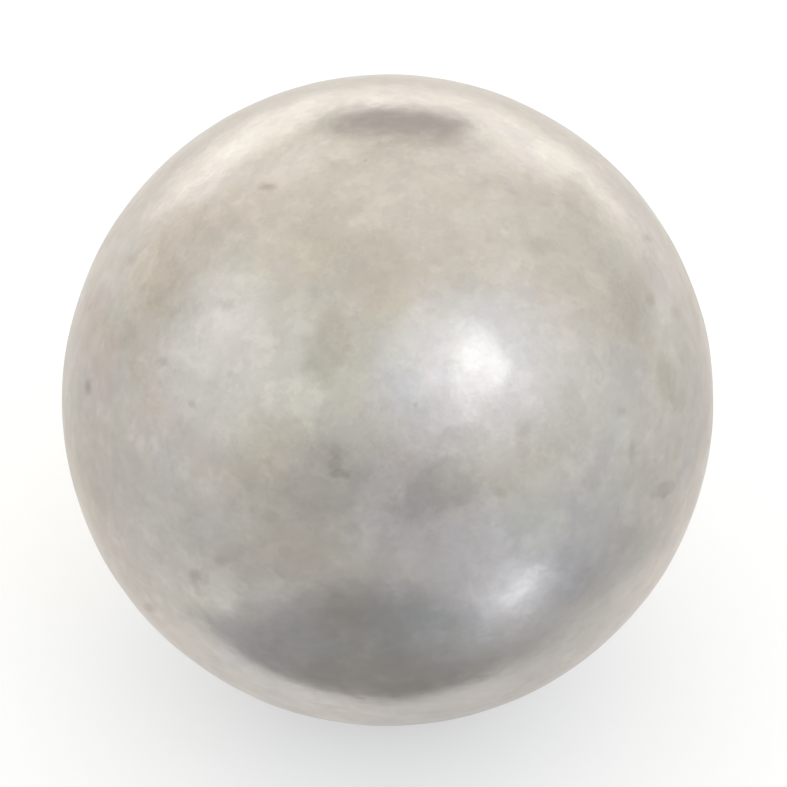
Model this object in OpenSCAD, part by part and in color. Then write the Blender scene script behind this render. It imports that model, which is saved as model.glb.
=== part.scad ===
// Smooth petanque boule: a hollow steel ball made of two forged half-shells, butted mouth to mouth
// and joined by a weld round the equator that is turned flush with the ball.
// Millimetres. The origin is the ball's centre, and the weld lies in the XY plane.

/* [Ball] */
// Outside diameter of the finished ball
ball_d = 73; // [70.5:0.5:80]
// Thickness of the forged wall
wall_t = 6.3; // [5.4:0.1:8]

/* [Mouth of each half-shell] */
// How far the straight mouth, which lets the punch strip out, runs up inside a half-shell
straight_h = 4; // [3:0.5:8]
// Thickness of the square root face that is left at the mouth
root_face_t = 2; // [1.2:0.1:3]
// Slope of the weld bevel, measured from the mouth's plane, in degrees
bevel_angle = 30; // [25:1:37]
// Gap between the two root faces before welding
root_gap = 0.6; // [0.4:0.1:1.2]

/* [Weld] */
// Depth of the groove that the root pass fills, above the root faces
root_pass_t = 1.7; // [1.2:0.1:2.2]
// Radius of the hollow that the root pass leaves for the cap pass
interpass_r = 8; // [7:0.5:12]
// Width of the bead that the root pass leaves inside the ball
root_bead_w = 4.4; // [3.4:0.1:5.6]
// Height of that bead above the straight mouth
root_bead_h = 1; // [0.6:0.1:1.6]
// Distance from one weld ripple to the next, round the inside of the ball
ripple_pitch = 2.4; // [1.8:0.1:3.2]

/* [Hidden] */
$fn = 96;
ripple_fn = 32;
forged_steel = "silver";
root_metal = "dimgray";
cap_metal = "darkgray";
// Overrun that carries a cutting shape clear past what it cuts
overrun = 1;

ball_r = ball_d / 2;
cavity_r = ball_r - wall_t;
// The straight mouth meets the round of the cavity at the height straight_h
mouth_r = sqrt(pow(cavity_r, 2) - pow(straight_h, 2));
// The fill of the root gap reaches a little way into the bead, which makes them one solid
groove_start_r = mouth_r - root_bead_h / 4;
groove_floor_r = mouth_r + root_face_t;
groove_reach_r = ball_r + overrun;
// Where the root pass ends and the cap pass begins, on the weld's middle plane
interpass_x = groove_floor_r + root_pass_t;
// Radius of the bead's round back, from its width and height
root_bead_r = (pow(root_bead_w / 2, 2) + pow(root_bead_h, 2)) / (2 * root_bead_h);
root_bead_centre_r = mouth_r - root_bead_h + root_bead_r;
ripple_count = round(360 / (2 * asin(ripple_pitch / (2 * (mouth_r - root_bead_h)))));

// Half height of the weld groove at a distance from the ball's axis
function groove_half_h(r) = root_gap / 2 + max(0, r - groove_floor_r) * tan(bevel_angle);

// Section that cuts the weld groove, from just inside the straight mouth out past the ball
module groove_cut_section() {
    polygon([
        [groove_start_r, -groove_half_h(groove_start_r)],
        [groove_floor_r, -groove_half_h(groove_floor_r)],
        [groove_reach_r, -groove_half_h(groove_reach_r)],
        [groove_reach_r, groove_half_h(groove_reach_r)],
        [groove_floor_r, groove_half_h(groove_floor_r)],
        [groove_start_r, groove_half_h(groove_start_r)],
    ]);
}

// Section of the weld groove itself, which ends at the ball's surface
module groove_section() {
    intersection() {
        groove_cut_section();
        circle(r = ball_r);
    }
}

// Section of the forged cavity, which is nowhere wider than its straight mouth
module cavity_section() {
    intersection() {
        circle(r = cavity_r);
        square([mouth_r, cavity_r]);
    }
}

// Section of the upper half-shell: the forged wall with its square root face and its weld bevel
module half_shell_section() {
    difference() {
        intersection() {
            circle(r = ball_r);
            square(ball_r);
        }
        cavity_section();
        groove_cut_section();
        square([groove_floor_r, root_gap / 2]);
    }
}

// What the cap pass takes of the groove: all that lies beyond the root pass's hollow back
module cap_side_section() {
    translate([interpass_x + interpass_r, 0])
        circle(r = interpass_r);
}

// One half-shell, standing on its mouth
module half_shell() {
    rotate_extrude()
        half_shell_section();
}

module upper_half_shell() {
    color(forged_steel)
        half_shell();
}

module lower_half_shell() {
    color(forged_steel)
        mirror([0, 0, 1])
            half_shell();
}

// The part of the root pass that fills the root gap and the floor of the groove
module root_fill() {
    rotate_extrude()
        difference() {
            groove_section();
            cap_side_section();
        }
}

// The rippled bead that the root pass leaves inside, one round freeze mark after another
module root_bead() {
    intersection() {
        cylinder(h = root_bead_w + 2 * overrun, r = mouth_r, center = true);
        union() {
            for (i = [0 : ripple_count - 1])
                rotate([0, 0, i * 360 / ripple_count])
                    translate([root_bead_centre_r, 0, 0])
                        sphere(r = root_bead_r, $fn = ripple_fn);
        }
    }
}

module weld_root_pass() {
    color(root_metal) {
        root_fill();
        root_bead();
    }
}

// The cap pass, turned down flush with the ball
module weld_cap_pass() {
    color(cap_metal)
        rotate_extrude()
            intersection() {
                groove_section();
                cap_side_section();
            }
}

upper_half_shell();
lower_half_shell();
weld_root_pass();
weld_cap_pass();
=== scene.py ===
"""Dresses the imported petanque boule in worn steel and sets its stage.

Skins stand for the two half-shells and for the weld's cap pass, and the root pass inside keeps its own
solid. A plain pale floor, a soft room and the photograph's camera stand round the ball. All lengths are
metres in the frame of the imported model: the ball's centre is the origin and the weld lies in the XY plane.
"""

import math

import bmesh
import bpy
import numpy as np
from mathutils import Matrix, Vector


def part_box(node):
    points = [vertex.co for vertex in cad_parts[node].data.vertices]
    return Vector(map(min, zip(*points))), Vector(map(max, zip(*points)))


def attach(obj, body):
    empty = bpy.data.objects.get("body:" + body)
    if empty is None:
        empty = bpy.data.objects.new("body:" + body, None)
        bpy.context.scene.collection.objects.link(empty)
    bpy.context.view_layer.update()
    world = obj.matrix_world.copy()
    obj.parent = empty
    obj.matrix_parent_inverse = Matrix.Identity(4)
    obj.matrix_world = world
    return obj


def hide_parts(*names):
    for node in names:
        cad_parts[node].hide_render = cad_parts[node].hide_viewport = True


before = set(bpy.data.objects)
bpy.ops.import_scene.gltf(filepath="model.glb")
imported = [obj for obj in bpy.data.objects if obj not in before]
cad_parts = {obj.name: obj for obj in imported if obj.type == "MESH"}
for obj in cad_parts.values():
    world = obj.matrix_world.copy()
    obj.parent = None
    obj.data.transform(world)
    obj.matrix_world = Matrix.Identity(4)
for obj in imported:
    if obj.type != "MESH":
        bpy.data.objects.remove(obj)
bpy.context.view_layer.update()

MM = 0.001

# The ball and its weld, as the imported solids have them
BALL_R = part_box("upper_half_shell")[1].z
HALF_ROOT_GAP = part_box("upper_half_shell")[0].z
BEVEL_EDGE_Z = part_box("weld_cap_pass")[1].z
BEVEL_EDGE_R = math.sqrt(BALL_R**2 - BEVEL_EDGE_Z**2)
WALL = 6.3 * MM
STRAIGHT_MOUTH_H = 4 * MM
ROOT_FACE = 2 * MM
ROOT_PASS = 1.7 * MM
INTERPASS_R = 8 * MM
CAVITY_R = BALL_R - WALL
MOUTH_R = math.sqrt(CAVITY_R**2 - STRAIGHT_MOUTH_H**2)
GROOVE_FLOOR_R = MOUTH_R + ROOT_FACE

# How finely the skins are divided: faces from pole to edge of a half-shell, and across the weld's cap
SHELL_STEPS = 148
CAP_STEPS = 16
BEVEL_STEPS = 6

# An edge between two faces that turns by more than this stays sharp
SHARP_ANGLE = math.radians(25)

# The photograph's frame and the ball in it, in pixels
PHOTO_SIDE = 787
BALL_PIXEL_X = 387.8
BALL_PIXEL_Y = 400.0
BALL_PIXEL_R = 326.3

CAMERA_ELEVATION = math.radians(40)
LENS_MM = 110
SENSOR_MM = 36
NEAREST_SEEN = 10 * MM
FARTHEST_SEEN = 20.0


# Camera

def direction(azimuth, elevation):
    """Unit vector from the ball, from degrees. Azimuth 0 is away from the camera and 90 to its right."""
    a = math.radians(azimuth)
    e = math.radians(elevation)
    return np.array([math.sin(a) * math.cos(e), math.cos(a) * math.cos(e), math.sin(e)])


TO_CAMERA = direction(180, math.degrees(CAMERA_ELEVATION))
IMAGE_RIGHT = np.array([1.0, 0.0, 0.0])
IMAGE_UP = np.cross(TO_CAMERA, IMAGE_RIGHT)
HALF_FIELD = SENSOR_MM / 2 / LENS_MM
HALF_SIDE = PHOTO_SIDE / 2
CAMERA_DISTANCE = BALL_R / math.sin(math.atan(BALL_PIXEL_R / HALF_SIDE * HALF_FIELD))
PIXEL_AT_BALL = CAMERA_DISTANCE * HALF_FIELD / HALF_SIDE
CAMERA_PLACE = (
    TO_CAMERA * CAMERA_DISTANCE
    + IMAGE_RIGHT * (HALF_SIDE - BALL_PIXEL_X) * PIXEL_AT_BALL
    + IMAGE_UP * (BALL_PIXEL_Y - HALF_SIDE) * PIXEL_AT_BALL
)


def on_ball(pixel_x, pixel_y):
    """Unit vector from the ball's centre to what the photograph shows of the ball at a pixel."""
    ray = (
        -TO_CAMERA
        + IMAGE_RIGHT * (pixel_x - HALF_SIDE) / HALF_SIDE * HALF_FIELD
        + IMAGE_UP * (HALF_SIDE - pixel_y) / HALF_SIDE * HALF_FIELD
    )
    ray /= np.linalg.norm(ray)
    middle = -CAMERA_PLACE @ ray
    past_rim = BALL_R**2 - (CAMERA_PLACE @ CAMERA_PLACE - middle**2)
    point = CAMERA_PLACE + ray * (middle - math.sqrt(max(past_rim, 0)))
    return point / np.linalg.norm(point)


def make_camera():
    lens = bpy.data.cameras.new("camera")
    lens.lens = LENS_MM
    lens.sensor_width = SENSOR_MM
    lens.clip_start = NEAREST_SEEN
    lens.clip_end = FARTHEST_SEEN
    camera = bpy.data.objects.new("camera", lens)
    camera.location = CAMERA_PLACE
    camera.rotation_euler = (math.pi / 2 - CAMERA_ELEVATION, 0, 0)
    bpy.context.scene.collection.objects.link(camera)
    bpy.context.scene.camera = camera


# Wear of the ball's surface

# Nicks that the photograph shows: x and y, width and height in pixels, and the share of dirt in each
SEEN_NICKS = [
    (267, 187, 14, 7, 0.70),
    (230, 303, 9, 8, 0.30),
    (88, 387, 7, 12, 0.75),
    (162, 362, 10, 9, 0.45),
    (197, 358, 11, 10, 0.25),
    (131, 261, 9, 9, 0.40),
    (150, 608, 12, 10, 0.75),
    (195, 577, 10, 12, 0.60),
    (222, 561, 14, 9, 0.30),
    (353, 527, 12, 10, 0.30),
    (500, 493, 10, 8, 0.30),
    (620, 412, 11, 8, 0.30),
    (632, 450, 6, 22, 0.40),
    (647, 238, 10, 8, 0.45),
    (650, 300, 10, 11, 0.45),
    (676, 313, 11, 14, 0.45),
    (573, 455, 11, 6, 0.30),
    (192, 405, 6, 7, 0.40),
]
NICK_DEPTH = 0.018 * MM

# Nicks and dents at random places all over the ball: how many, and the ranges of their radii and depths
SMALL_NICKS = 90
SMALL_NICK_RADIUS = (0.5 * MM, 0.9 * MM)
SMALL_NICK_DEPTH = (0.004 * MM, 0.012 * MM)
SHALLOW_DENTS = 46
DENT_RADIUS = (1.2 * MM, 3.2 * MM)
DENT_DEPTH = (0.006 * MM, 0.022 * MM)

# Two bands of waves, long from polishing and short from rolling on gravel: how many, the range of their
# lengths and their height
WAVE_BANDS = [(40, (5 * MM, 16 * MM), 0.0045 * MM), (60, (1.8 * MM, 4 * MM), 0.00055 * MM)]
# Waves seldom add up to more than this many times their usual height
WAVE_PEAK = 3

# The step to each side that a normal is worked out from, as a share of the ball's radius
NORMAL_STEP = 0.0012

WEAR_SEED = 7

random = np.random.default_rng(WEAR_SEED)


def scattered(count):
    """Unit vectors spread evenly at random over the ball."""
    points = random.normal(size=(count, 3))
    return points / np.linalg.norm(points, axis=1, keepdims=True)


def wave_band(count, lengths):
    """Waves that run in random directions, as vectors of radians per metre."""
    ways = scattered(count)
    return ways * (2 * math.pi / random.uniform(*lengths, count))[:, None]


wave_vectors = np.vstack([wave_band(count, lengths) for count, lengths, height in WAVE_BANDS])
wave_heights = np.concatenate([np.full(count, height) for count, lengths, height in WAVE_BANDS])
wave_phases = random.uniform(0, 2 * math.pi, len(wave_heights))
WAVE_ALLOWANCE = WAVE_PEAK * math.sqrt((wave_heights**2).sum() / 2)

# Every dent: where it is, its radius and its depth
dent_places = np.vstack(
    [[on_ball(x, y) for x, y, *rest in SEEN_NICKS], scattered(SMALL_NICKS), scattered(SHALLOW_DENTS)]
)
dent_radii = np.concatenate(
    [
        [(width + height) / 2 * PIXEL_AT_BALL for x, y, width, height, dirt in SEEN_NICKS],
        random.uniform(*SMALL_NICK_RADIUS, SMALL_NICKS),
        random.uniform(*DENT_RADIUS, SHALLOW_DENTS),
    ]
)
dent_depths = np.concatenate(
    [
        np.full(len(SEEN_NICKS), NICK_DEPTH),
        random.uniform(*SMALL_NICK_DEPTH, SMALL_NICKS),
        random.uniform(*DENT_DEPTH, SHALLOW_DENTS),
    ]
)


def ball_points(directions):
    """Points of the worn surface in the given directions, never outside the ball."""
    even = directions * BALL_R
    waves = np.sin(even @ wave_vectors.T + wave_phases) @ wave_heights
    depth = np.maximum(WAVE_ALLOWANCE - waves, 0)
    for place, radius, deepest in zip(dent_places, dent_radii, dent_depths):
        share = np.sum((directions - place) ** 2, axis=1) * (BALL_R / radius) ** 2
        inside = share < 1
        depth[inside] += deepest * (1 - share[inside]) ** 2
    return directions * (BALL_R - depth)[:, None]


def ball_normals(directions):
    """Normals of the worn surface, from points a small step to each side."""
    # Any direction that is well away from the given one
    helper = np.where(np.abs(directions[:, 2:]) < 0.9, [[0.0, 0.0, 1.0]], [[1.0, 0.0, 0.0]])
    side = np.cross(directions, helper)
    side /= np.linalg.norm(side, axis=1, keepdims=True)
    up = np.cross(directions, side)

    def moved(way):
        turned = directions + way * NORMAL_STEP
        return ball_points(turned / np.linalg.norm(turned, axis=1, keepdims=True))

    normals = np.cross(moved(side) - moved(-side), moved(up) - moved(-up))
    normals /= np.linalg.norm(normals, axis=1, keepdims=True)
    return normals * np.sign(np.sum(normals * directions, axis=1, keepdims=True))


# Skins

def level_circle(radius, z, count):
    """Points round a circle that lies level."""
    angles = np.arange(count) * 2 * math.pi / count
    return np.stack([radius * np.cos(angles), radius * np.sin(angles), np.full(count, z)], axis=1)


class Skin:
    """Vertices and faces of a closed piece, gathered part by part."""

    def __init__(self):
        self.points, self.faces = [], []

    def add_points(self, points):
        first = len(self.points)
        self.points.extend(map(tuple, points))
        return np.arange(first, len(self.points))

    def add_grid(self, index):
        """Quads between neighbouring rows and columns of vertex numbers."""
        quads = np.stack([index[:-1, :-1], index[1:, :-1], index[1:, 1:], index[:-1, 1:]], axis=-1)
        self.faces.extend(quads.reshape(-1, 4).tolist())

    def bridge(self, near, far):
        """Joins two closed loops of vertices, the far one as fine as the near one or half as fine."""
        count = len(near)
        for i in range(len(far)):
            a, b = far[i], far[(i + 1) % len(far)]
            if len(far) == count:
                self.faces.append([near[i], near[(i + 1) % count], b, a])
            else:
                first, middle, last = near[2 * i], near[2 * i + 1], near[(2 * i + 2) % count]
                self.faces += [[first, middle, a], [middle, b, a], [middle, last, b]]

    def merge_loop(self, kept, dropped):
        """Lets faces that use the dropped loop's vertices use the kept loop's instead."""
        instead = dict(zip(dropped, kept))
        self.faces = [[instead.get(v, v) for v in face] for face in self.faces]


def dome(steps, edge_angle):
    """Directions of a grid over a dome round +Z, its squares bent into rings, and the grid's outer loop."""
    a, b = np.meshgrid(np.arange(-steps, steps + 1), np.arange(-steps, steps + 1), indexing="ij")
    ring = np.maximum(np.abs(a), np.abs(b))
    safe = np.maximum(ring, 1)
    turn = np.where(
        np.abs(a) >= np.abs(b),
        np.where(a >= 0, b / safe, 4 - b / safe),
        np.where(b >= 0, 2 - a / safe, 6 + a / safe),
    ) * (math.pi / 4)
    fall = 2 * np.arcsin(ring / steps * math.sin(edge_angle / 2))
    directions = np.stack(
        [np.sin(fall) * np.cos(turn), np.sin(fall) * np.sin(turn), np.cos(fall)], axis=-1
    )
    edge = [(i, j) for i, j in zip(*np.nonzero(ring == steps))]
    edge.sort(key=lambda ij: turn[ij] % (2 * math.pi))
    return directions, edge


def finish_skin(skin, name, outer_count):
    """Makes the piece. Its first outer_count vertices lie on the ball's surface and get its true normals."""
    mesh = bpy.data.meshes.new(name)
    mesh.from_pydata(skin.points, [], skin.faces)
    shape = bmesh.new()
    shape.from_mesh(mesh)
    bmesh.ops.delete(shape, geom=[v for v in shape.verts if not v.link_faces], context="VERTS")
    bmesh.ops.recalc_face_normals(shape, faces=shape.faces)
    shape.to_mesh(mesh)
    shape.free()
    mesh.shade_smooth()
    mesh.set_sharp_from_angle(angle=SHARP_ANGLE)

    corners = np.empty(len(mesh.loops), dtype=np.int64)
    mesh.loops.foreach_get("vertex_index", corners)
    outer_faces = [face for face in mesh.polygons if max(face.vertices) < outer_count]
    outer_corners = np.concatenate([np.array(face.loop_indices) for face in outer_faces])
    points = np.array(skin.points[:outer_count])
    directions = points / np.linalg.norm(points, axis=1, keepdims=True)
    normals = np.zeros((len(corners), 3))
    normals[outer_corners] = ball_normals(directions)[corners[outer_corners]]
    mesh.normals_split_custom_set(normals.tolist())

    piece = bpy.data.objects.new(name, mesh)
    bpy.context.scene.collection.objects.link(piece)
    return piece


def half_shell_skin(name, side):
    """A half-shell: its worn outside, then the bevel, the root face, the straight mouth and the cavity."""
    skin = Skin()
    outside, edge = dome(SHELL_STEPS, math.acos(BEVEL_EDGE_Z / BALL_R))
    flip = np.array([1, 1, side])
    flat = outside.reshape(-1, 3) * flip
    index = skin.add_points(ball_points(flat)).reshape(outside.shape[:2])
    skin.add_grid(index)
    outer_count = len(skin.points)
    loop = np.array([index[ij] for ij in edge])
    count = len(loop)
    # Rings down the bevel and the root face to the mouth, each as fine as the one before or half as fine
    profile = [
        (GROOVE_FLOOR_R, HALF_ROOT_GAP, count),
        (MOUTH_R, HALF_ROOT_GAP, count // 2),
        (MOUTH_R, STRAIGHT_MOUTH_H, count // 4),
    ]
    for radius, z, number in profile:
        following = skin.add_points(level_circle(radius, z * side, number))
        skin.bridge(loop, following)
        loop = following
    inside, edge = dome(SHELL_STEPS // 4, math.acos(STRAIGHT_MOUTH_H / CAVITY_R))
    index = skin.add_points((inside * flip * CAVITY_R).reshape(-1, 3)).reshape(inside.shape[:2])
    skin.add_grid(index)
    skin.merge_loop(loop, [index[ij] for ij in edge])
    return finish_skin(skin, name, outer_count)


def cap_pass_skin(name):
    """The weld's cap pass: its worn outside, flush with the half-shells, its two sides and its back."""
    skin = Skin()
    count = 8 * SHELL_STEPS
    rings = []
    for height in np.linspace(-BEVEL_EDGE_Z, BEVEL_EDGE_Z, CAP_STEPS + 1) / BALL_R:
        ring = level_circle(math.sqrt(1 - height**2), height, count)
        rings.append(skin.add_points(ball_points(ring)))
    outer_count = len(skin.points)
    slope = (BEVEL_EDGE_Z - HALF_ROOT_GAP) / (BEVEL_EDGE_R - GROOVE_FLOOR_R)
    floor_middle = GROOVE_FLOOR_R + ROOT_PASS
    floor_centre = floor_middle + INTERPASS_R
    # The hollow back of the root pass meets the bevel where a circle and a line cross
    offset = GROOVE_FLOOR_R - HALF_ROOT_GAP / slope
    a = 1 + slope**2
    b = -2 * (floor_centre + slope**2 * offset)
    c = floor_centre**2 + (slope * offset) ** 2 - INTERPASS_R**2
    corner_r = (-b - math.sqrt(b * b - 4 * a * c)) / (2 * a)
    corner_z = slope * (corner_r - offset)
    for z in np.linspace(corner_z, -corner_z, BEVEL_STEPS + 1):
        radius = floor_centre - math.sqrt(INTERPASS_R**2 - z**2)
        rings.append(skin.add_points(level_circle(radius, z, count)))
    for near, far in zip(rings, rings[1:] + rings[:1]):
        skin.bridge(near, far)
    return finish_skin(skin, name, outer_count)


# Materials

class Nodes:
    """Short ways to add and join the nodes of one material or world."""

    def __init__(self, owner):
        owner.use_nodes = True
        self.tree = owner.node_tree
        self.tree.nodes.clear()

    def add(self, kind, settings=None, **inputs):
        node = self.tree.nodes.new(kind)
        for key, value in (settings or {}).items():
            setattr(node, key, value)
        for key, value in inputs.items():
            self.feed(node.inputs[key.replace("_", " ")], value)
        return node

    def feed(self, socket, value):
        if isinstance(value, bpy.types.NodeSocket):
            self.tree.links.new(value, socket)
        else:
            socket.default_value = value

    def math(self, operation, first, second=0.0, third=0.0):
        node = self.add("ShaderNodeMath", {"operation": operation})
        for socket, value in zip(node.inputs, (first, second, third)):
            self.feed(socket, value)
        return node.outputs[0]

    def between(self, value, low, high, start=0.0, end=1.0):
        """Turns low to high into start to end, softly at both ends."""
        node = self.add("ShaderNodeMapRange", {"interpolation_type": "SMOOTHSTEP"})
        for socket, number in zip(node.inputs, (value, low, high, start, end)):
            self.feed(socket, number)
        return node.outputs[0]

    def mix(self, share, first, second):
        node = self.add("ShaderNodeMix", {"data_type": "RGBA"})
        self.feed(node.inputs[0], share)
        self.feed(node.inputs[6], first)
        self.feed(node.inputs[7], second)
        return node.outputs[2]

    def scaled(self, colour, factor):
        node = self.add("ShaderNodeVectorMath", {"operation": "SCALE"})
        self.feed(node.inputs[0], colour)
        self.feed(node.inputs["Scale"], factor)
        return node.outputs[0]

    def measure(self, operation, vector, fixed=(0, 0, 0)):
        """A number from a vector: its LENGTH, or its DOT_PRODUCT with or DISTANCE from a fixed vector."""
        node = self.add("ShaderNodeVectorMath", {"operation": operation})
        self.feed(node.inputs[0], vector)
        node.inputs[1].default_value = tuple(fixed)
        return node.outputs["Value"]

    def mapped(self, place, middle, turn, scale):
        """Turns places into ones measured from a middle, turned back and divided by a scale."""
        node = self.add("ShaderNodeMapping", {"vector_type": "TEXTURE"})
        self.feed(node.inputs["Vector"], place)
        for key, value in {"Location": middle, "Rotation": turn, "Scale": scale}.items():
            node.inputs[key].default_value = value
        return node.outputs[0]

    def noise(self, place, size, kind, output="Fac"):
        """Noise of a size of its own, which also keeps it unlike the others."""
        octaves, roughness = kind
        node = self.add("ShaderNodeTexNoise", {"noise_dimensions": "3D"})
        self.feed(node.inputs["Vector"], place)
        for key, value in {"Scale": 1 / size, "Detail": octaves, "Roughness": roughness}.items():
            node.inputs[key].default_value = value
        return node.outputs[output]

    def stray(self, place, size, reach):
        """Moves each place about by up to half of reach, which makes the edge of a mark ragged."""
        colour = self.noise(place, size, RAGGED, output="Color")
        offset = self.add("ShaderNodeVectorMath", {"operation": "SUBTRACT"})
        self.feed(offset.inputs[0], colour)
        offset.inputs[1].default_value = (0.5, 0.5, 0.5)
        node = self.add("ShaderNodeVectorMath", {"operation": "MULTIPLY_ADD"})
        self.feed(node.inputs[0], offset.outputs[0])
        node.inputs[1].default_value = (reach, reach, reach)
        self.feed(node.inputs[2], place)
        return node.outputs[0]

    def product(self, first, *others):
        for other in others:
            first = self.math("MULTIPLY", first, other)
        return first

    def sum_of(self, shader, other):
        node = self.add("ShaderNodeAddShader")
        self.feed(node.inputs[0], shader.outputs[0])
        self.feed(node.inputs[1], other.outputs[0])
        return node

    def tint(self, share, colour, tone):
        """Multiplies a colour by a tone, by the given share."""
        node = self.add("ShaderNodeMix", {"data_type": "RGBA", "blend_type": "MULTIPLY"})
        self.feed(node.inputs[0], share)
        self.feed(node.inputs[6], colour)
        self.feed(node.inputs[7], rgba(tone))
        return node.outputs[2]

    def finish(self, shader, kind="ShaderNodeOutputMaterial"):
        """Joins a shader to the output of the material or the world."""
        self.feed(self.add(kind).inputs["Surface"], shader.outputs[0])


def rgba(colour):
    return (*colour, 1.0)


# Kinds of noise: how many octaves it has, and how strong each is beside the one before
GRAINY = (2, 0.50)
SMOOTH = (3, 0.55)
SOFT = (3, 0.60)
CLOUDY = (4, 0.60)
RAGGED = (4, 0.65)
CRISP = (5, 0.62)


def start_material(name):
    """A new material, its nodes, and places in the object's own frame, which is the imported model's."""
    material = bpy.data.materials.new(name)
    n = Nodes(material)
    return material, n, n.add("ShaderNodeTexCoord").outputs["Object"]


# The steel's own colour, the casts that drift over it, and its colour where it is seen edge on
STEEL_NEUTRAL = (0.583, 0.563, 0.551)
STEEL_OLIVE = (0.572, 0.558, 0.525)
STEEL_ROSE = (0.594, 0.563, 0.551)
STEEL_BLUE = (0.571, 0.559, 0.560)
STEEL_EDGE = (0.90, 0.855, 0.805)

# Each cast with the size and the kind of its noise, and the levels of noise where it begins and is whole
STEEL_CASTS = [
    (STEEL_OLIVE, 16 * MM, SMOOTH, 0.42, 0.62),
    (STEEL_ROSE, 12 * MM, SOFT, 0.48, 0.66),
    (STEEL_BLUE, 14 * MM, SOFT, 0.50, 0.68),
]

# Large soft clouds in the steel's shade and in its gloss: their size, the levels of noise that they run
# between, and what the shade and the roughness are at those levels
CLOUD_SIZE = 9 * MM
HAZE_SIZE = 7 * MM
CLOUD_LEVELS = (0.3, 0.7)
CLOUD_SHADES = (0.96, 1.04)
HAZE_ROUGHNESS = (0.19, 0.27)

# Tones that a mark multiplies the steel by
RUST = (0.70, 0.675, 0.655)
# Dark soot, and also painted shade on the lower flank of the highlight
SOOT_AND_SHADE = (0.84, 0.843, 0.83)
TARNISH = (0.88, 0.87, 0.835)
BLUSH = (0.96, 0.92, 0.915)
# Bare pale metal, and also painted highlights round the highlight and the glint
BARE_AND_HIGHLIGHT = (1.15, 1.175, 1.16)
COLD = (0.975, 1.0, 1.03)
WARM = (1.03, 1.0, 0.975)
OLIVE = (0.96, 0.965, 0.92)
GRIME = (0.74, 0.715, 0.675)
SAGE = (0.975, 1.0, 0.985)

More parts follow.
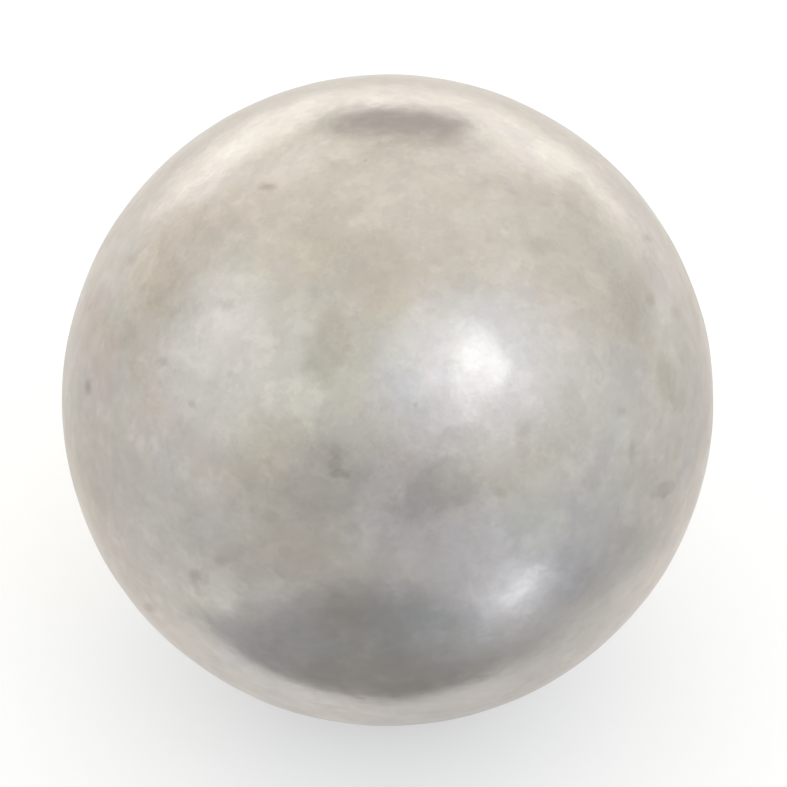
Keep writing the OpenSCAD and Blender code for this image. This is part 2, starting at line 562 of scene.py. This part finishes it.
# Marks where the photograph shows them: stains and tarnish, and also painted light, namely painted
# reflection colours, painted shade below the highlight and painted highlights. Each has x and y, width and
# height in pixels, lean to the left in degrees, tone and share
SEEN_MARKS = [
    (348, 408, 120, 140, 0, COLD, 1.00),
    (328, 352, 70, 100, 0, COLD, 0.30),
    (336, 424, 44, 44, 0, COLD, 0.50),
    (590, 395, 70, 110, 0, COLD, 0.60),
    (160, 510, 150, 240, 20, WARM, 0.90),
    # Painted reflection: warms the halo round the highlight
    (420, 295, 90, 50, 0, WARM, 0.60),
    (286, 262, 60, 54, 0, WARM, 1.00),
    (280, 590, 160, 110, 0, WARM, 1.00),
    (300, 540, 90, 70, 0, WARM, 0.50),
    (450, 582, 70, 50, 0, WARM, 0.60),
    (292, 500, 100, 150, -20, OLIVE, 0.85),
    # Painted reflection: the colour of the bright crescent mirrored at the top right
    (560, 152, 120, 36, -38, SAGE, 0.90),
    (575, 235, 130, 100, 0, SAGE, 0.50),
    (98, 350, 40, 90, 0, WARM, 0.80),
    (655, 430, 60, 160, 0, WARM, 0.60),
    (337, 461, 26, 42, 0, TARNISH, 0.32),
    (335, 450, 9, 15, 10, GRIME, 0.30),
    (336, 463, 12, 12, 0, GRIME, 0.34),
    (340, 474, 18, 9, 0, GRIME, 0.58),
    (327, 345, 38, 72, -15, TARNISH, 0.85),
    (436, 490, 72, 42, 30, SOOT_AND_SHADE, 0.80),
    (378, 503, 44, 44, 0, BARE_AND_HIGHLIGHT, 0.40),
    # Painted shade: this and the next darken the lower flank of the highlight
    (480, 414, 100, 46, 0, SOOT_AND_SHADE, 0.30),
    (436, 422, 66, 50, 0, SOOT_AND_SHADE, 0.40),
    (176, 268, 56, 108, -30, TARNISH, 0.60),
    (164, 276, 32, 58, -10, TARNISH, 0.65),
    (180, 318, 30, 60, -35, SOOT_AND_SHADE, 0.45),
    (205, 475, 80, 90, 0, SOOT_AND_SHADE, 0.30),
    (140, 580, 26, 40, 40, SOOT_AND_SHADE, 0.40),
    (212, 222, 50, 44, 0, SOOT_AND_SHADE, 0.35),
    (628, 305, 44, 56, 15, SOOT_AND_SHADE, 0.50),
    (667, 380, 20, 44, 10, TARNISH, 0.80),
    (524, 190, 110, 26, -5, BLUSH, 0.55),
    (541, 246, 24, 16, 0, SOOT_AND_SHADE, 0.40),
    (523, 440, 14, 36, 0, TARNISH, 0.60),
    (376, 268, 66, 60, 0, TARNISH, 0.35),
    (280, 470, 110, 110, 30, TARNISH, 0.20),
    (272, 516, 14, 10, 0, SOOT_AND_SHADE, 0.50),
    (232, 553, 34, 16, 0, SOOT_AND_SHADE, 0.45),
    (98, 335, 40, 110, 12, BLUSH, 0.90),
    (688, 360, 28, 150, 0, SOOT_AND_SHADE, 0.20),
    (117, 328, 26, 56, 5, SOOT_AND_SHADE, 0.45),
    (664, 489, 26, 13, 20, SOOT_AND_SHADE, 0.90),
    (524, 526, 44, 22, 0, SOOT_AND_SHADE, 0.35),
    (236, 532, 60, 50, 0, BARE_AND_HIGHLIGHT, 0.20),
    # Painted shade on the lower flank of the highlight
    (465, 440, 56, 26, 0, SOOT_AND_SHADE, 0.30),
    # Painted reflection: this and the next cool the mirrored dark zone at the bottom
    (345, 620, 150, 60, 0, COLD, 0.70),
    (595, 575, 90, 60, 40, COLD, 0.50),
    (200, 343, 60, 56, 25, BARE_AND_HIGHLIGHT, 0.50),
    (186, 388, 44, 44, 0, SOOT_AND_SHADE, 0.30),
    (240, 318, 60, 44, 10, BARE_AND_HIGHLIGHT, 0.10),
    (250, 280, 50, 32, 15, BARE_AND_HIGHLIGHT, 0.22),
    (304, 400, 26, 40, 0, BARE_AND_HIGHLIGHT, 0.80),
    (238, 142, 60, 26, 35, BARE_AND_HIGHLIGHT, 0.30),
    (338, 386, 44, 40, 0, BARE_AND_HIGHLIGHT, 0.30),
    # Painted highlight: the glow to the right of the highlight
    (536, 358, 64, 76, 0, BARE_AND_HIGHLIGHT, 0.30),
    # Painted highlight: the small pale glint at the lower left, with the next two
    (224, 595, 44, 44, 0, BARE_AND_HIGHLIGHT, 0.95),
    (225, 597, 22, 30, 0, BARE_AND_HIGHLIGHT, 0.45),
    (225, 597, 34, 44, 0, COLD, 0.40),
    (278, 590, 64, 20, 5, BARE_AND_HIGHLIGHT, 0.45),
    (370, 221, 36, 16, 0, BARE_AND_HIGHLIGHT, 0.25),
    (574, 465, 30, 26, 0, BARE_AND_HIGHLIGHT, 0.25),
    (622, 432, 24, 30, 0, BARE_AND_HIGHLIGHT, 0.25),
    (622, 250, 30, 36, 0, BARE_AND_HIGHLIGHT, 0.20),
    (350, 537, 44, 50, 0, BARE_AND_HIGHLIGHT, 0.40),
    # Pale patches, made brighter as painted reflection above the glint: this and the next
    (505, 515, 34, 56, 0, BARE_AND_HIGHLIGHT, 0.30),
    (543, 510, 36, 90, 0, BARE_AND_HIGHLIGHT, 0.35),
]

# Marks of the same kind at random places on the side that the photograph doesn't show: how many, the range
# of their widths and heights, their tones, the common ones named twice, and the range of their shares
UNSEEN_MARKS = 30
UNSEEN_SIZE = (2.5 * MM, 13 * MM)
UNSEEN_TONES = [SOOT_AND_SHADE, TARNISH, SOOT_AND_SHADE, TARNISH, BARE_AND_HIGHLIGHT, BARE_AND_HIGHLIGHT, BLUSH, OLIVE, WARM, COLD]
UNSEEN_SHARE = (0.35, 0.85)
MARK_SEED = 19

# The random nicks on that side that hold dirt: how many, the range of the dirt's widths in radii of the
# nick, and the range of its shares
UNSEEN_NICKS = 18
UNSEEN_SPREAD = (0.9, 1.5)
UNSEEN_DIRT = (0.30, 0.75)

# That side begins where the cosine of the angle to the camera falls below this
HIDDEN_SIDE = -0.06

# The soft edge of a mark and of a nick's dirt, to each side of its outline, as a share of its half width
MARK_SOFTNESS = 0.35
NICK_SOFTNESS = 0.75

# The size and reach of the stray in the edges of large marks, of smaller ones and of nicks, and the least
# width and height of a large one
LARGE_MARK = 2.92 * MM
LARGE_STRAY = (4.4 * MM, 6.5 * MM)
SMALL_STRAY = (1.4 * MM, 1.6 * MM)
NICK_STRAY = (0.9 * MM, 0.8 * MM)

# Patches with a crisp edge all over the ball: their size, the level of noise at their edge, and their shade
WORN_PATCHES = [
    (8 * MM, 0.52, 0.975),
    (6 * MM, 0.54, 1.030),
    (3.5 * MM, 0.53, 0.970),
    (3.0 * MM, 0.54, 1.030),
    (1.6 * MM, 0.54, 0.970),
    (1.3 * MM, 0.55, 1.030),
]
PATCH_EDGE = 0.035

# Scuffs too fine for the mesh, as bump
SCUFF_SIZE = 1.1 * MM
SCUFF_HEIGHT = 0.012 * MM

# Pits all over the ball: the size of the cells that hold one each, the range of their radii, the size and
# reach of their stray, how many radii from the middle they are whole and gone, and their dirt from the
# least to the most
PIT_CELL = 4.5 * MM
PIT_RADIUS = (0.16 * MM, 0.42 * MM)
PIT_STRAY = (0.7 * MM, 0.6 * MM)
PIT_SOFT_EDGE = (0.2, 1.3)
PIT_DIRT = (0.0, 0.5)
# The share of the cells whose pit holds no dirt
CLEAN_PITS = 0.1


def seen_place(x, y, width, height, lean=0):
    """Middle, turn, width and height of an ellipse that the camera sees at a pixel of the photograph."""
    facing_camera = Matrix.Rotation(math.pi / 2 - CAMERA_ELEVATION, 3, "X")
    turn = facing_camera @ Matrix.Rotation(math.radians(lean), 3, "Z")
    return on_ball(x, y), turn, width * PIXEL_AT_BALL, height * PIXEL_AT_BALL


def facing(way, turn=0.0):
    """Turns a mark to lie square to a direction from the ball's centre."""
    return Vector(way).to_track_quat("Z", "Y").to_matrix() @ Matrix.Rotation(turn, 3, "Z")


def unseen_marks(draw):
    """Places, tones and shares of the marks on the hidden side."""
    marks = []
    while len(marks) < UNSEEN_MARKS:
        way = draw.normal(size=3)
        way /= np.linalg.norm(way)
        width, height = draw.uniform(*UNSEEN_SIZE, 2)
        turn = facing(way, draw.uniform(0, math.pi))
        tone = UNSEEN_TONES[draw.integers(len(UNSEEN_TONES))]
        share = draw.uniform(*UNSEEN_SHARE)
        if way @ TO_CAMERA < HIDDEN_SIDE:
            marks.append(((way, turn, width, height), tone, share))
    return marks


def unseen_nicks(draw):
    """Places and shares of dirt of some of the random nicks on the hidden side."""
    small_nicks = slice(len(SEEN_NICKS), len(SEEN_NICKS) + SMALL_NICKS)
    nicks = zip(dent_places[small_nicks], dent_radii[small_nicks])
    hidden = [(way, radius) for way, radius in nicks if way @ TO_CAMERA < HIDDEN_SIDE]
    dirty = []
    for way, radius in hidden[:UNSEEN_NICKS]:
        width = radius * draw.uniform(*UNSEEN_SPREAD)
        height = radius * draw.uniform(*UNSEEN_SPREAD)
        dirty.append(((way, facing(way), width, height), draw.uniform(*UNSEEN_DIRT)))
    return dirty


def mark_at(n, place, middle, turn, width, height, soft=MARK_SOFTNESS):
    """1 inside an ellipse on the ball, 0 outside."""
    reach = 1 + soft
    scale = (width / 2 * reach, height / 2 * reach, BALL_R * reach)
    # With so many marks, the steel renders black if the gradient is made before the mapping that feeds it
    mapped = n.mapped(place, middle * BALL_R, turn.to_euler(), scale)
    inwards = n.add("ShaderNodeTexGradient", {"gradient_type": "SPHERICAL"})
    n.feed(inwards.inputs["Vector"], mapped)
    return n.between(inwards.outputs["Fac"], 0.0, 2 * soft / reach)


def pits(n, place):
    """Share of dirt in small pits scattered over the ball, no two alike."""
    cells = n.add("ShaderNodeTexVoronoi", {"voronoi_dimensions": "3D"}, Scale=1 / PIT_CELL)
    n.feed(cells.inputs["Vector"], n.stray(place, *PIT_STRAY))
    parts = n.add("ShaderNodeSeparateColor")
    n.feed(parts.inputs[0], cells.outputs["Color"])
    distance = n.product(cells.outputs["Distance"], PIT_CELL)
    radius = n.between(parts.outputs[0], 0.0, 1.0, *PIT_RADIUS)
    share = n.between(n.math("DIVIDE", distance, radius), *PIT_SOFT_EDGE, 1.0, 0.0)
    return n.product(share, n.between(parts.outputs[1], CLEAN_PITS, 1.0, *PIT_DIRT))


def worn_steel():
    material, n, place = start_material("worn_steel")
    ragged, frayed, fuzzy = (n.stray(place, *stray) for stray in (LARGE_STRAY, SMALL_STRAY, NICK_STRAY))

    colour = rgba(STEEL_NEUTRAL)
    for cast, size, kind, begins, whole in STEEL_CASTS:
        share = n.between(n.noise(ragged, size, kind), begins, whole)
        colour = n.mix(share, colour, rgba(cast))

    shade = n.between(n.noise(place, CLOUD_SIZE, CLOUDY), *CLOUD_LEVELS, *CLOUD_SHADES)
    for size, edge, patch_shade in WORN_PATCHES:
        patch = n.between(n.noise(place, size, CRISP), edge, edge + PATCH_EDGE, 1.0, patch_shade)
        shade = n.product(shade, patch)

    draw = np.random.default_rng(MARK_SEED)
    # Stains, and also painted reflection colours, painted shade and painted highlights, as tints of the
    # steel's colour
    marks = [(seen_place(*ellipse), tone, share) for *ellipse, tone, share in SEEN_MARKS]
    for (middle, turn, width, height), tone, share in marks + unseen_marks(draw):
        field = ragged if min(width, height) > LARGE_MARK else frayed
        mark = n.product(mark_at(n, field, middle, turn, width, height), share)
        colour = n.tint(mark, colour, tone)
    nicks = [(seen_place(*ellipse), dirt) for *ellipse, dirt in SEEN_NICKS]
    for ellipse, dirt in nicks + unseen_nicks(draw):
        mark = n.product(mark_at(n, fuzzy, *ellipse, soft=NICK_SOFTNESS), dirt)
        colour = n.tint(mark, colour, RUST)
    colour = n.tint(pits(n, place), colour, RUST)
    colour = n.scaled(colour, shade)

    roughness = n.between(n.noise(place, HAZE_SIZE, CLOUDY), *CLOUD_LEVELS, *HAZE_ROUGHNESS)
    bump = n.add("ShaderNodeBump", None, Strength=1.0, Distance=SCUFF_HEIGHT)
    n.feed(bump.inputs["Height"], n.noise(place, SCUFF_SIZE, SMOOTH))
    shader = n.add("ShaderNodeBsdfPrincipled", None, Base_Color=colour, Metallic=1.0, Roughness=roughness)
    n.feed(shader.inputs["Normal"], bump.outputs[0])
    shader.inputs["Specular Tint"].default_value = rgba(STEEL_EDGE)
    n.finish(shader)
    return material


# Weld metal: its two greys, the size of the clouds of the one in the other, the levels of noise that they
# run between, the range of its roughness and the size of that one's noise
WELD_GREYS = [(0.30, 0.29, 0.28), (0.46, 0.44, 0.41)]
WELD_CLOUDS = 2.5 * MM
WELD_CLOUD_LEVELS = (0.35, 0.65)
WELD_ROUGHNESS = (0.35, 0.6)
WELD_GRAIN = 0.8 * MM


def weld_metal():
    material, n, place = start_material("weld_metal")
    share = n.between(n.noise(place, WELD_CLOUDS, SOFT), *WELD_CLOUD_LEVELS)
    colour = n.mix(share, *map(rgba, WELD_GREYS))
    roughness = n.between(n.noise(place, WELD_GRAIN, GRAINY), *CLOUD_LEVELS, *WELD_ROUGHNESS)
    n.finish(n.add("ShaderNodeBsdfPrincipled", None, Base_Color=colour, Metallic=1.0, Roughness=roughness))
    return material


# Stage

FLOOR_Z = -BALL_R
FLOOR_SIDE = 12.0
FLOOR_COLOUR = (0.74, 0.765, 0.805)
FLOOR_ROUGHNESS = 0.6
# The floor's own brightness where the camera sees it, straight or in the steel, so that it looks white
FLOOR_LIFT = 0.30
# Light that the ball throws back on the floor, which only the steel shows
BOUNCE_PLACE = (-0.38 * BALL_R, -0.76 * BALL_R, FLOOR_Z)
BOUNCE_RADIUS = 0.6 * BALL_R
BOUNCE_BRIGHTNESS = 0.10


def level_square(name, z, material):
    """A square as large as the floor, round the z axis."""
    h = FLOOR_SIDE / 2
    mesh = bpy.data.meshes.new(name)
    mesh.from_pydata([(-h, -h, z), (h, -h, z), (h, h, z), (-h, h, z)], [], [(0, 1, 2, 3)])
    mesh.materials.append(material)
    piece = bpy.data.objects.new(name, mesh)
    bpy.context.scene.collection.objects.link(piece)
    return piece


def floor_material():
    material, n, place = start_material("pale_floor")
    paper = n.add("ShaderNodeBsdfPrincipled", None, Base_Color=rgba(FLOOR_COLOUR), Roughness=FLOOR_ROUGHNESS)
    path = n.add("ShaderNodeLightPath").outputs
    mirrored = n.math("MAXIMUM", path["Is Glossy Ray"], path["Is Transmission Ray"])
    seen = n.math("MAXIMUM", path["Is Camera Ray"], mirrored)
    away = n.measure("DISTANCE", place, BOUNCE_PLACE)
    bounce = n.between(away, 0.0, BOUNCE_RADIUS, BOUNCE_BRIGHTNESS, 0.0)
    bounce = n.product(path["Is Glossy Ray"], bounce)
    lift = n.add("ShaderNodeEmission", None, Strength=n.math("MULTIPLY_ADD", seen, FLOOR_LIFT, bounce))
    n.finish(n.sum_of(paper, lift))
    return material


# Dark polished metal on the table, out of the picture, that shows only in the steel. It is whole in front of
# the ball, up to a round edge beyond which it is thin, and between a left and a right edge. It fades with
# the distance. Its thin part is painted shade that darkens the floor as the steel mirrors it, and it carries
# a painted glint.
CARD_LIFT = 0.4 * MM
CARD_METAL = (0.40, 0.419, 0.453)
CARD_ROUGHNESS = 0.12
CARD_EDGE_CENTRE = (0.03 * BALL_R, 3.6 * BALL_R, 0)
CARD_EDGE_RADIUS = 4.60 * BALL_R
CARD_EDGE_SOFTNESS = 0.08 * BALL_R
CARD_LEFT_EDGE = (-1.78 * BALL_R, -0.68 * BALL_R)
CARD_RIGHT_SLOPE = (0.2 * BALL_R, 1.4 * BALL_R)
CARD_RIGHT_SHARE = 0.55
CARD_RIGHT_EDGE = (2.1 * BALL_R, 3.0 * BALL_R)
CARD_FADE = (2.3 * BALL_R, 6.2 * BALL_R)
# Its thin part, painted shade on the mirrored floor: its share behind the ball and before it, the cosines to
# the way to the camera at which it has these, and the distances from the ball at which it begins and is
# whole
CARD_THIN_SHARES = (0.20, 0.62)
CARD_THIN_TURNS = (-0.95, 0.9)
CARD_THIN_START = (1.1 * BALL_R, 2.2 * BALL_R)
# The normal that it mirrors the room by
CARD_LEAN = (-0.0598, 0.1234, 0.991)
# Places where its thin part, the painted shade, is thinner or thicker: x and y, radius, and the change of
# its share
CARD_PATCHES = [
    (-2.2 * BALL_R, -1.1 * BALL_R, 1.2 * BALL_R, -0.15),
    (-4.6 * BALL_R, -0.6 * BALL_R, 1.8 * BALL_R, -0.06),
    (-5.0 * BALL_R, 0.8 * BALL_R, 2.8 * BALL_R, 0.13),
    (-2.6 * BALL_R, -2.5 * BALL_R, 1.4 * BALL_R, 0.06),
    (1.3 * BALL_R, 0.1 * BALL_R, 0.6 * BALL_R, 0.06),
    (-1.5 * BALL_R, -0.45 * BALL_R, 0.6 * BALL_R, 0.06),
    (1.05 * BALL_R, -1.0 * BALL_R, 0.8 * BALL_R, 0.24),
    (2.1 * BALL_R, -1.2 * BALL_R, 1.2 * BALL_R, 0.14),
    (2.8 * BALL_R, -0.1 * BALL_R, 1.4 * BALL_R, -0.07),
    (2.2 * BALL_R, 0.9 * BALL_R, 1.0 * BALL_R, 0.06),
    (6.5 * BALL_R, 0.0, 3.0 * BALL_R, -0.08),
    (2.9 * BALL_R, -7.4 * BALL_R, 3.6 * BALL_R, 0.09),
]
# A painted glint on the card, glowing where the lamp would glint on it, a core and two glows, and a faint
# painted glow before the ball: x and y, length, width, turn in degrees and brightness
GLINTS = [
    (1.44 * BALL_R, -2.05 * BALL_R, 1.34 * BALL_R, 0.25 * BALL_R, -19, 2.05),
    (1.45 * BALL_R, -1.95 * BALL_R, 2.80 * BALL_R, 1.00 * BALL_R, -28, 0.19),
    (3.90 * BALL_R, -3.90 * BALL_R, 4.20 * BALL_R, 2.60 * BALL_R, -45, 0.22),
    (-0.15 * BALL_R, -1.70 * BALL_R, 2.20 * BALL_R, 1.20 * BALL_R, 0, 0.04),
]
# A patch, and a glow, is whole out to this share of its radius
PATCH_CORE = 0.25
GLINT_CORE = 0.3


def card_share(n, flat):
    """How much of the card there is at each place of its plane."""
    past_edge = n.math("SUBTRACT", n.measure("DISTANCE", flat, CARD_EDGE_CENTRE), CARD_EDGE_RADIUS)
    near = n.between(past_edge, -CARD_EDGE_SOFTNESS, CARD_EDGE_SOFTNESS)
    across = n.measure("DOT_PRODUCT", flat, (1, 0, 0))
    left = n.between(across, *CARD_LEFT_EDGE)
    slope = n.between(across, *CARD_RIGHT_SLOPE, 1.0, CARD_RIGHT_SHARE)
    right = n.between(across, *CARD_RIGHT_EDGE, 1.0, 0.0)
    distance = n.measure("LENGTH", flat)
    fade = n.between(distance, *CARD_FADE, 1.0, 0.0)
    front = n.product(near, fade, left, slope, right)

    # The thin part paints shade on the floor that the steel mirrors
    ahead = n.math("DIVIDE", n.measure("DOT_PRODUCT", flat, (0, -1, 0)), distance)
    turned = n.between(ahead, *CARD_THIN_TURNS, *CARD_THIN_SHARES)
    thin = n.product(turned, n.between(distance, *CARD_THIN_START))
    for x, y, radius, change in CARD_PATCHES:
        away = n.measure("DISTANCE", flat, (x, y, 0))
        thin = n.math("ADD", thin, n.between(away, PATCH_CORE * radius, radius, change, 0.0))

    # The card shows only from above, so that the floor beneath doesn't mirror it
    from_above = n.math("SUBTRACT", 1.0, n.add("ShaderNodeNewGeometry").outputs["Backfacing"])
    return n.product(n.math("MAXIMUM", n.math("MAXIMUM", front, thin), 0.0), from_above)


def card_material():
    material, n, place = start_material("dark_card")
    flatten = n.add("ShaderNodeVectorMath", {"operation": "MULTIPLY"})
    n.feed(flatten.inputs[0], place)
    flatten.inputs[1].default_value = (1, 1, 0)
    flat = flatten.outputs[0]

    metal = n.add("ShaderNodeBsdfPrincipled", None, Base_Color=rgba(CARD_METAL), Metallic=1.0)
    metal.inputs["Roughness"].default_value = CARD_ROUGHNESS
    lean = n.add("ShaderNodeCombineXYZ", None, X=CARD_LEAN[0], Y=CARD_LEAN[1], Z=CARD_LEAN[2])
    n.feed(metal.inputs["Normal"], lean.outputs[0])
    # Painted glint: the card glows where the lamp would glint on it
    glint = 0.0
    for x, y, length, width, turn, brightness in GLINTS:
        scaled = n.mapped(flat, (x, y, 0), (0, 0, math.radians(turn)), (length / 2, width / 2, 1))
        glow = n.between(n.measure("LENGTH", scaled), GLINT_CORE, 1.0, brightness, 0.0)
        glint = n.math("ADD", glow, glint)
    lit = n.sum_of(metal, n.add("ShaderNodeEmission", None, Strength=glint))

    mixed = n.add("ShaderNodeMixShader")
    n.feed(mixed.inputs[0], card_share(n, flat))
    n.feed(mixed.inputs[1], n.add("ShaderNodeBsdfTransparent").outputs[0])
    n.feed(mixed.inputs[2], lit.outputs[0])
    n.finish(mixed)
    return material


def make_card():
    card = level_square("dark_card", FLOOR_Z + CARD_LIFT, card_material())
    card.visible_camera = False
    card.visible_shadow = False
    card.visible_diffuse = False


# Light

# The round lamp: its direction, its distance and half of the angle that it fills, as seen from the ball
KEY_AZIMUTH = 138.0
KEY_ELEVATION = 43.3
KEY_DISTANCE = 0.9
KEY_HALF_ANGLE = math.radians(11.6)
KEY_BRIGHTNESS = 0.675
KEY_COLOUR = (0.99, 1.0, 1.0)


def make_key():
    lamp = bpy.data.lights.new("key", "AREA")
    lamp.shape = "DISK"
    radius = KEY_DISTANCE * math.tan(KEY_HALF_ANGLE)
    lamp.size = 2 * radius
    # A disk that looks as bright as 1 gives off pi watts for each square metre
    lamp.energy = KEY_BRIGHTNESS * math.pi * math.pi * radius**2
    lamp.color = KEY_COLOUR
    key = bpy.data.objects.new("key", lamp)
    way = direction(KEY_AZIMUTH, KEY_ELEVATION)
    key.location = way * KEY_DISTANCE
    turn_from_z = math.acos(way[2])
    key.rotation_euler = (turn_from_z, 0, math.atan2(way[1], way[0]) + math.pi / 2)
    bpy.context.scene.collection.objects.link(key)


# Colours of the room: the ceiling, the walls that run into it, and the patches
ROOM_CEILING = (0.955, 0.90, 0.785)
ROOM_WALL = (0.80, 0.765, 0.70)
ROOM_BACK = (1.13, 1.07, 0.96)
ROOM_FRONT = (0.62, 0.60, 0.60)
ROOM_LEFT = (1.06, 1.05, 1.00)
ROOM_HALO = (1.18, 1.20, 1.25)
ROOM_RIGHT = (0.865, 0.85, 0.785)
ROOM_PANEL = (1.53, 1.495, 1.42)
ROOM_GAP = (0.62, 0.58, 0.545)
ROOM_DIM = (0.68, 0.65, 0.60)

# The heights, as sines of elevations, between which the walls run into the ceiling
CEILING_START = (-0.1, 0.55)
# How far above the lamp the middle of its halo lies, in degrees
HALO_RISE = 2

# Round patches of the room, in the order in which they cover each other: azimuth, elevation, the angles out
# to which the patch is whole and beyond which it is gone, its colour and its share
ROOM_PATCHES = [
    (20, 30, 10, 75, ROOM_BACK, 1.0),
    (-105, 33, 10, 42, ROOM_LEFT, 1.0),
    (180, -18, 24, 60, ROOM_FRONT, 1.0),
    (120, 8, 12, 50, ROOM_RIGHT, 0.8),
    (98, 31, 3, 18, ROOM_LEFT, 0.65),
    (66, -12, 6, 26, ROOM_DIM, 0.5),
    (60, 26, 6, 28, ROOM_DIM, 0.3),
    (-85, -6, 8, 28, ROOM_DIM, 0.15),
    (103, 10, 4, 26, ROOM_LEFT, 0.45),
    (-52, 14, 5, 24, ROOM_BACK, 0.75),
    (KEY_AZIMUTH, KEY_ELEVATION + HALO_RISE, 3, 38, ROOM_HALO, 0.95),
    (-23, 37, 4, 15, ROOM_PANEL, 0.28),
    (34, 31, 3, 13, ROOM_PANEL, 0.3),
    (39, 4, 2, 9, ROOM_PANEL, 0.9),
    (-36, 6, 2, 8, ROOM_PANEL, 0.6),
]

# The bright panel straight ahead and the dark gap in it, each an upright rectangle: its left, right, bottom
# and top edges as tangents of angles, the softness of the edges and its colour
ROOM_PANELS = [
    (-0.88, 0.76, -0.12, 0.50, 0.08, ROOM_PANEL),
    (-0.25, 0.30, 0.345, 0.77, 0.03, ROOM_GAP),
]
# The least part of a direction that points ahead, so that nothing is divided by zero
LEAST_AHEAD = 0.001


def make_room():
    world = bpy.data.worlds.new("room")
    bpy.context.scene.world = world
    n = Nodes(world)
    way = n.add("ShaderNodeTexCoord").outputs["Generated"]

    def spot(azimuth, elevation, inner, outer, share):
        """share within inner degrees of a direction, 0 beyond outer."""
        closeness = n.measure("DOT_PRODUCT", way, direction(azimuth, elevation))
        edges = math.cos(math.radians(outer)), math.cos(math.radians(inner))
        return n.between(closeness, *edges, 0.0, share)

    def span(value, low, high, soft):
        """1 between low and high, 0 outside."""
        return n.product(
            n.between(value, low - soft, low + soft), n.between(value, high - soft, high + soft, 1.0, 0.0)
        )

    height = n.measure("DOT_PRODUCT", way, (0, 0, 1))
    colour = n.mix(n.between(height, *CEILING_START), rgba(ROOM_WALL), rgba(ROOM_CEILING))
    for azimuth, elevation, inner, outer, tone, share in ROOM_PATCHES:
        colour = n.mix(spot(azimuth, elevation, inner, outer, share), colour, rgba(tone))
    ahead = n.math("MAXIMUM", n.measure("DOT_PRODUCT", way, (0, 1, 0)), LEAST_AHEAD)
    across = n.math("DIVIDE", n.measure("DOT_PRODUCT", way, (1, 0, 0)), ahead)
    up = n.math("DIVIDE", height, ahead)
    for left, right, bottom, top, soft, tone in ROOM_PANELS:
        panel = n.product(span(across, left, right, soft), span(up, bottom, top, soft))
        colour = n.mix(panel, colour, rgba(tone))
    n.finish(n.add("ShaderNodeBackground", None, Color=colour), "ShaderNodeOutputWorld")


# The scene

make_camera()
level_square("floor", FLOOR_Z, floor_material())
make_card()
make_key()
make_room()

steel = worn_steel()
for node, piece in {
    "upper_half_shell": half_shell_skin("upper_half_shell_skin", 1),
    "lower_half_shell": half_shell_skin("lower_half_shell_skin", -1),
    "weld_cap_pass": cap_pass_skin("weld_cap_pass_skin"),
}.items():
    piece.data.materials.append(steel)
    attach(piece, "root")
    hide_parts(node)

root_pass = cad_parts["weld_root_pass"]
root_pass.data.materials.clear()
root_pass.data.materials.append(weld_metal())

bpy.context.scene.view_settings.view_transform = "Standard"
